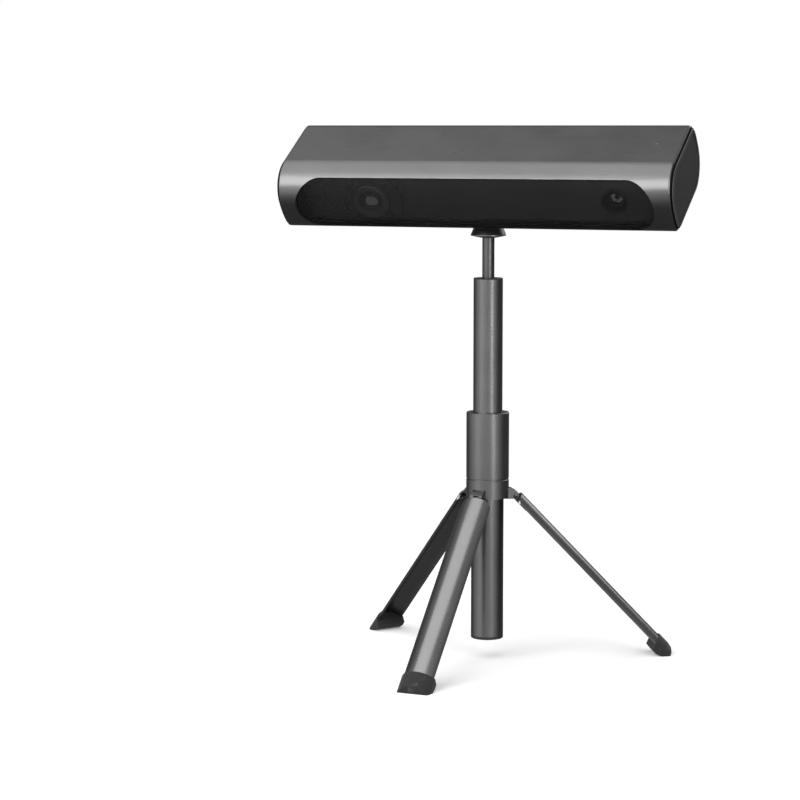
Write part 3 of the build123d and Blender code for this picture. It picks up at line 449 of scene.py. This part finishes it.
def newPiece(name, body, material, mesh):
    piece = bpy.data.objects.new(name, mesh)
    scene.collection.objects.link(piece)
    piece.data.materials.append(material)
    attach(piece, body)
    return piece


creaseAngle = math.radians(32)


def meshFrom(name, build, smooth=True):
    # runs a bmesh builder and keeps its result
    shape = bmesh.new()
    build(shape)
    bmesh.ops.recalc_face_normals(shape, faces=shape.faces)
    for face in shape.faces:
        face.smooth = smooth
    mesh = bpy.data.meshes.new(name)
    shape.to_mesh(mesh)
    shape.free()
    if smooth:
        mesh.set_sharp_from_angle(angle=creaseAngle)
    return mesh


def turnRing(shape, outline, frameOfRing, steps=96):
    # closed outline of (radius, along) points turned about the frame's Z
    rings = []
    for step in range(steps):
        turn = 2 * math.pi * step / steps
        ring = []
        for radius, along in outline:
            spot = Vector((radius * math.cos(turn), radius * math.sin(turn), along))
            ring.append(shape.verts.new(frameOfRing @ spot))
        rings.append(ring)
    count = len(outline)
    for step in range(steps):
        here, there = rings[step], rings[(step + 1) % steps]
        for i in range(count):
            k = (i + 1) % count
            shape.faces.new((here[i], here[k], there[k], there[i]))


def domeDisc(shape, radius, rise, thick, frameOfDisc, rounds=8, steps=64):
    # round piece with a domed top and a flat back
    ballRadius = (radius ** 2 + rise ** 2) / (2 * rise)
    top = shape.verts.new(frameOfDisc @ Vector((0, 0, rise)))
    last = None
    for i in range(1, rounds + 1):
        r = radius * i / rounds
        z = rise - ballRadius + math.sqrt(ballRadius ** 2 - r ** 2)
        ring = []
        for step in range(steps):
            turn = 2 * math.pi * step / steps
            spot = Vector((r * math.cos(turn), r * math.sin(turn), z))
            ring.append(shape.verts.new(frameOfDisc @ spot))
        for step in range(steps):
            k = (step + 1) % steps
            if last is None:
                shape.faces.new((top, ring[step], ring[k]))
            else:
                shape.faces.new((last[step], ring[step], ring[k], last[k]))
        last = ring
    below = frameOfDisc.to_3x3() @ Vector((0, 0, -thick))
    under = [shape.verts.new(v.co + below) for v in last]
    for step in range(steps):
        k = (step + 1) % steps
        shape.faces.new((last[step], under[step], under[k], last[k]))
    shape.faces.new(list(reversed(under)))


def slab(shape, outline, thick, frameOfSlab):
    # flat piece from an outline, thickened along the frame's Z
    low = [shape.verts.new(frameOfSlab @ Vector((x, y, 0))) for x, y in outline]
    high = [shape.verts.new(frameOfSlab @ Vector((x, y, thick))) for x, y in outline]
    shape.faces.new(list(reversed(low)))
    shape.faces.new(high)
    for i in range(len(outline)):
        k = (i + 1) % len(outline)
        shape.faces.new((low[i], low[k], high[k], high[i]))


def roundedOutline(wide, high, radius, steps=6):
    spots = []
    for cx, cy, start in ((1, 1, 0), (-1, 1, 90), (-1, -1, 180), (1, -1, 270)):
        for i in range(steps + 1):
            a = math.radians(start + 90 * i / steps)
            x = cx * (wide / 2 - radius) + radius * math.cos(a)
            y = cy * (high / 2 - radius) + radius * math.sin(a)
            spots.append((x, y))
    return spots


def inBar(name, end):
    # lowest or highest place of a node along the bar's own depth
    depths = [(barFrame.inverted() @ v.co).y for v in nodes[name].data.vertices]
    return min(depths) if end == "front" else max(depths)


opticLevel = (barFrame.inverted() @ middleOf("projector_glass")).z


def opticFrame(x, depth):
    # frame on a lens axis: Z points out of the bar's front, the origin is at that depth
    facing = Matrix.Rotation(math.radians(90), 4, "X")
    return barFrame @ Matrix.Translation((x, depth, opticLevel)) @ facing


projectorLook = {
    "x": middleOf("projector_glass").x, "front": inBar("projector_barrel", "front"),
    "mouth": 0.00845, "floor": 0.00762,  # radii of the liner at its two ends
    "start": 0.00015, "deep": 0.0023, "wall": 0.00055,
    "grooves": 4, "grooveWall": 0.0002, "grooveDeep": 0.0003,
}


def projectorLiner(shape):
    # ridged black liner in the mouth of the barrel, which kills stray light
    look = projectorLook
    outer = []
    inner = []
    for i in range(look["grooves"] + 1):
        share = i / look["grooves"]
        radius = look["mouth"] + (look["floor"] - look["mouth"]) * share
        along = -look["start"] - look["deep"] * share
        outer.append((radius, along))
        inner.append((radius - look["wall"], along))
        if i < look["grooves"]:
            inner.append((radius - look["grooveWall"], along - look["grooveDeep"]))
    turnRing(shape, outer + list(reversed(inner)), opticFrame(look["x"], look["front"]))


newPiece("projector_liner", "scanner", finishes["black_plastic"],
         meshFrom("projector_liner", projectorLiner))

gateLook = {
    "wide": 0.0080, "high": 0.0062, "corner": 0.0024, "thick": 0.0004,
    "depth": projectorLook["front"] + 0.0016, "ringBehind": 0.0002,
    "ring": [(0.0048, 0.0002), (0.0052, 0.0006), (0.0068, 0.0006), (0.0068, -0.0002), (0.0048, -0.0002)],
}


def lightGateAndReflection(shape):
    # frosted window of the light engine, seen through the front lens; its pale tone also stands in for a
    # painted reflection of a pale rectangle in the lens
    frameOfGate = opticFrame(projectorLook["x"], gateLook["depth"])
    outline = roundedOutline(gateLook["wide"], gateLook["high"], gateLook["corner"])
    slab(shape, outline, gateLook["thick"], frameOfGate)


def gateSurround(shape):
    # stepped ring that holds the gate
    depth = gateLook["depth"] + gateLook["ringBehind"]
    turnRing(shape, gateLook["ring"], opticFrame(projectorLook["x"], depth))


# the light gate's pale plate also stands in for a painted reflection in the projector lens
newPiece("light_gate", "scanner", gateGlassAndReflection, meshFrom("light_gate", lightGateAndReflection))
newPiece("light_gate_ring", "scanner", finishes["black_plastic"],
         meshFrom("light_gate_ring", gateSurround))

cameraX = middleOf("camera_glass").x
cameraFront = inBar("camera_barrel", "front")
leavesLook = {
    "depth": cameraFront + 0.0036, "outer": 0.0036, "opening": 0.0017, "leaves": 6, "steps": 8,
    "lean": 0.0009, "edgeShare": 0.4, "thick": 0.0002, "edgeThick": 0.0001,
}


def irisLeavesAndGlint(shape):
    # fixed iris behind the front lens, with a straight side on each leaf; its near-white leaves also stand
    # in for painted reflections in the camera lens
    look = leavesLook
    frameOfIris = opticFrame(cameraX, look["depth"])
    steps = look["leaves"] * look["steps"]
    sector = math.pi / look["leaves"]
    rim, edge, backRim, backEdge = [], [], [], []
    for step in range(steps):
        turn = 2 * math.pi * step / steps
        onLeaf = turn % (2 * sector)
        reach = look["opening"] / math.cos(onLeaf - sector)
        lean = look["lean"] * onLeaf / (2 * sector)  # each leaf rises over the next
        heights = ((rim, look["outer"], lean), (edge, reach, lean * look["edgeShare"]),
                   (backRim, look["outer"], -look["thick"]), (backEdge, reach, -look["edgeThick"]))
        for ring, r, z in heights:
            ring.append(shape.verts.new(frameOfIris @ Vector((r * math.cos(turn), r * math.sin(turn), z))))
    for step in range(steps):
        k = (step + 1) % steps
        shape.faces.new((rim[step], rim[k], edge[k], edge[step]))
        shape.faces.new((backRim[k], backRim[step], backEdge[step], backEdge[k]))
        shape.faces.new((rim[k], rim[step], backRim[step], backRim[k]))
        shape.faces.new((edge[step], edge[k], backEdge[k], backEdge[step]))


secondLensLook = {"depth": cameraFront + 0.0052, "radius": 0.0034, "rise": 0.0012, "thick": 0.0008}


def secondLens(shape):
    look = secondLensLook
    domeDisc(shape, look["radius"], look["rise"], look["thick"], opticFrame(cameraX, look["depth"]))


filterLook = {"depth": cameraFront + 0.0095, "side": 0.0048, "corner": 0.0006, "thick": 0.0005}


def filterPane(shape):
    look = filterLook
    outline = roundedOutline(look["side"], look["side"], look["corner"])
    slab(shape, outline, look["thick"], opticFrame(cameraX, look["depth"]))


lensRingLook = {
    "depth": cameraFront - 0.0001,
    "outline": [(0.0046, 0.0001), (0.0048, 0.00055), (0.00515, 0.00055), (0.00535, 0.00025),
                (0.00535, 0.0001)],
}


def lensRing(shape):
    # dark retaining ring round the front lens
    turnRing(shape, lensRingLook["outline"], opticFrame(cameraX, lensRingLook["depth"]))


# the iris leaves' pale colour also stands in for painted reflections in the camera lens
newPiece("camera_iris_and_glint", "scanner", satinMetal("irisSteelAndGlint", irisAndGlintLook),
         meshFrom("camera_iris_and_glint", irisLeavesAndGlint, False))
newPiece("camera_second_lens", "scanner", finishes["lens_glass"],
         meshFrom("camera_second_lens", secondLens))
newPiece("camera_filter", "scanner", finishes["lens_glass"],
         meshFrom("camera_filter", filterPane))
newPiece("camera_lens_ring", "scanner", satinMetal("lensRing", darkBarrelLook),
         meshFrom("camera_lens_ring", lensRing))
print("lens details made")

bezelScrewLook = {
    "count": 4, "circle": 0.0162, "turn": 1.7, "radius": 0.0015, "height": 0.00126, "round": 0.0003,
    "faceShare": 0.87, "slot": 0.00042, "reach": 0.00095, "deep": 0.0005, "floorShare": 0.8,
}


def crossHead(shape):
    # pan heads, each with a cross recess cut in its face
    look = bezelScrewLook
    r = look["radius"]
    s = look["slot"] / 2
    q = look["reach"]
    cross = [(q, -s), (q, s), (s, s), (s, q), (-s, q), (-s, s),
             (-q, s), (-q, -s), (-s, -s), (-s, -q), (s, -q), (s, -s)]
    around = [math.atan2(y, x) for x, y in cross]
    top = look["height"]
    share = look["floorShare"]
    rows = [
        [(x, y, top) for x, y in cross],
        [(x * share, y * share, top - look["deep"]) for x, y in cross],
        [(look["faceShare"] * r * math.cos(t), look["faceShare"] * r * math.sin(t), top) for t in around],
        [(r * math.cos(t), r * math.sin(t), top - look["round"]) for t in around],
        [(r * math.cos(t), r * math.sin(t), 0.0) for t in around],
    ]
    seat = opticFrame(projectorLook["x"], inBar("bezel_screws", "rear"))
    for i in range(look["count"]):
        a = math.radians(45 + 360 * i / look["count"])
        spot = Matrix.Translation((look["circle"] * math.cos(a), look["circle"] * math.sin(a), 0))
        frameOfHead = seat @ spot @ Matrix.Rotation(a * look["turn"], 4, "Z")
        upper, floor, rim, side, foot = [
            [shape.verts.new(frameOfHead @ Vector(place)) for place in row] for row in rows]
        for k in range(len(cross)):
            n = (k + 1) % len(cross)
            shape.faces.new((upper[k], upper[n], rim[n], rim[k]))
            shape.faces.new((rim[k], rim[n], side[n], side[k]))
            shape.faces.new((side[k], side[n], foot[n], foot[k]))
            shape.faces.new((upper[n], upper[k], floor[k], floor[n]))
        shape.faces.new(floor)
        shape.faces.new(list(reversed(foot)))


heads = newPiece("bezel_screw_heads", "scanner", finishes["black_screw"],
                 meshFrom("bezel_screw_heads", crossHead))
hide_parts("bezel_screws")

contactLook = {
    "count": 12, "pitch": 0.00048, "wide": 0.00026, "long": 0.0042, "thick": 0.00005,
    "inside": 0.0055, "offMiddle": 0.00035,
}


def usbContacts(shape):
    # gold strips on both faces of the socket's tongue
    look = contactLook
    socket = barFrame.inverted() @ middleOf("usb_socket")
    depth = inBar("usb_socket", "rear") - look["inside"]
    half = look["wide"] / 2
    outline = [(-half, 0), (half, 0), (half, look["long"]), (-half, look["long"])]
    for side in (1, -1):
        level = socket.z + side * look["offMiddle"] - (look["thick"] if side < 0 else 0)
        for i in range(look["count"]):
            x = socket.x + (i - (look["count"] - 1) / 2) * look["pitch"]
            slab(shape, outline, look["thick"], barFrame @ Matrix.Translation((x, depth, level)))


newPiece("usb_contacts", "scanner", gold, meshFrom("usb_contacts", usbContacts, False))

screenLook = {
    "wide": 0.0292, "high": 0.0186, "depth": 0.0292, "height": -0.001,
    "pitch": 0.00095, "wire": 0.00022, "weave": 0.000132, "sides": 6,
}


def screenWire(shape, places, upright):
    # one woven wire through its places, round its own direction
    look = screenLook
    lastRing = None
    for place in places:
        ring = []
        for side in range(look["sides"]):
            turn = 2 * math.pi * side / look["sides"]
            across = math.cos(turn) * look["wire"] / 2
            deep = math.sin(turn) * look["wire"] / 2
            spot = place + (Vector((across, deep, 0)) if upright else Vector((0, deep, across)))
            ring.append(shape.verts.new(barFrame @ spot))
        if lastRing:
            for side in range(look["sides"]):
                n = (side + 1) % look["sides"]
                shape.faces.new((lastRing[side], lastRing[n], ring[n], ring[side]))
        lastRing = ring


def dustScreen(shape):
    # woven dust screen behind the rear vents, each wire over one and under the next
    look = screenLook
    middle = Vector((projectorLook["x"], look["depth"], look["height"]))
    columns = int(look["wide"] / look["pitch"])
    rows = int(look["high"] / look["pitch"])
    directions = ((True, columns, rows, look["high"]), (False, rows, columns, look["wide"]))
    for upright, wires, crossings, span in directions:
        steps = crossings * 2
        for k in range(wires + 1):
            offset = (k - wires / 2) * look["pitch"]
            places = []
            for step in range(steps + 1):
                along = (step / steps - 0.5) * span
                weave = look["weave"] * (-1) ** (step + k + (0 if upright else 1))
                x, z = (offset, along) if upright else (along, offset)
                places.append(middle + Vector((x, weave, z)))
            screenWire(shape, places, upright)


newPiece("dust_screen", "scanner", finishes["spring_steel"],
         meshFrom("dust_screen", dustScreen))
print("screws, contacts and dust screen made")

pinHeadLook = {
    "radius": 0.00155, "rise": 0.00035, "thick": 0.0002, "halfSpan": 0.00432, "rounds": 5, "steps": 24,
}


def pinHeads(shape):
    # peened heads at both ends of each hinge pin
    look = pinHeadLook
    folds = [joint for joint in frame["joints"] if joint["name"].endswith("_fold")]
    for joint in folds:
        middle = Vector(joint["pos_m"])
        along = Vector(joint["axis"]).normalized()
        for side in (1, -1):
            away = Matrix.Translation(middle + along * side * look["halfSpan"])
            facing = (along * side).to_track_quat("Z", "Y").to_matrix().to_4x4()
            domeDisc(shape, look["radius"], look["rise"], look["thick"], away @ facing,
                     look["rounds"], look["steps"])


newPiece("hinge_pin_heads", "stand", finishes["pin_steel"],
         meshFrom("hinge_pin_heads", pinHeads))

floorLook = {
    "radius": 1.0, "solid": 0.3, "fadeEnd": 0.97, "tone": 0.86, "cloud": 0.01, "glow": 0.2, "steps": 128,
}


def makeFloor(look):
    def build(shape):
        rim = []
        for step in range(look["steps"]):
            turn = 2 * math.pi * step / look["steps"]
            spot = (look["radius"] * math.cos(turn), look["radius"] * math.sin(turn), 0)
            rim.append(shape.verts.new(spot))
        shape.faces.new(rim)

    finish = Finish("paleFloor")
    cloud = finish.noise(3, 2, 0.5)
    dull = (look["tone"] - look["cloud"],) * 3 + (1,)
    colour = finish.mixColour(cloud, dull, (look["tone"],) * 3 + (1,))
    away = finish.node("ShaderNodeVectorMath", {"operation": "LENGTH"}, {0: finish.place()}, "Value")
    fadeEnd = look["radius"] * look["fadeEnd"]
    shown = finish.spread(away, look["solid"], fadeEnd, 1.0, 0.0)  # fades out to its rim
    material = finish.surface(colour=colour, roughness=0.9, specular=0.1, alpha=shown, glow=(1, 1, 1, 1),
                              glowStrength=look["glow"])
    floor = bpy.data.objects.new("floor", meshFrom("floor", build, False))
    floor.data.materials.append(material)
    floor.visible_glossy = False  # keeps the white floor out of the dark metal
    scene.collection.objects.link(floor)


makeFloor(floorLook)

lampAim = Vector((0, columnY, 0.22))
# direction: degrees to the right of the bar's front; height: degrees above the horizon
lampLooks = {
    "frontBox": {"direction": -20, "height": 25, "away": 1.7, "wide": 1.4, "high": 0.95, "glow": 4.0},
    "overBox": {"direction": -20, "height": 70, "away": 1.6, "wide": 2.2, "high": 1.9, "glow": 1.62},
    "edgeStrip": {"direction": 51, "height": 13, "away": 1.6, "wide": 0.14, "high": 1.2, "glow": 14.5},
    "backFill": {"direction": 165, "height": 28, "away": 1.8, "wide": 1.3, "high": 0.9, "glow": 1.7},
    "leftFill": {"direction": -36, "height": -1, "away": 1.7, "wide": 0.9, "high": 1.2, "glow": 0.5},
}


def makeLamp(name, look):
    lamp = bpy.data.lights.new(name, "AREA")
    lamp.shape = "RECTANGLE"
    lamp.size = look["wide"]
    lamp.size_y = look["high"]
    lamp.energy = look["glow"] * math.pi * look["wide"] * look["high"]  # as bright at any size
    holder = bpy.data.objects.new(name, lamp)
    side = math.radians(look["direction"])
    up = math.radians(look["height"])
    way = Vector((math.sin(side) * math.cos(up), -math.cos(side) * math.cos(up), math.sin(up)))
    holder.location = lampAim + way * look["away"]
    holder.rotation_euler = (-way).to_track_quat("-Z", "Y").to_euler()
    holder.visible_camera = False
    scene.collection.objects.link(holder)


for lampName, lampLook in lampLooks.items():
    makeLamp(lampName, lampLook)

roomLook = {
    "front": 0.95, "back": 0.12, "turning": (-0.35, 0.25),
    "overhead": 0.4, "ceiling": (0.25, 0.75), "below": 0.14, "ground": (-0.8, 0.0),
}


def makeRoom(look):
    # white to the camera, but in reflections a room bright in front and dim behind
    world = bpy.data.worlds.new("studio")
    scene.world = world
    world.use_nodes = True
    room = Finish("studio", world.node_tree)
    way = room.node("ShaderNodeTexCoord", result="Generated")
    across, up = room.placeParts(way)[1:]
    wall = room.spread(across, *look["turning"], look["front"], look["back"])
    high = room.spread(up, *look["ceiling"])
    level = wall + (look["overhead"] - wall) * high
    low = room.spread(up, *look["ground"])
    level = look["below"] + (level - look["below"]) * low
    seen = room.node("ShaderNodeLightPath", result="Is Camera Ray")
    level = level + (1.0 - level) * seen
    glow = room.node("ShaderNodeBackground", {}, {"Color": (1, 1, 1, 1), "Strength": level})
    room.node("ShaderNodeOutputWorld", {}, {"Surface": glow})


makeRoom(roomLook)
scene.view_settings.view_transform = "Standard"
scene.view_settings.look = "None"
print("stage lit")
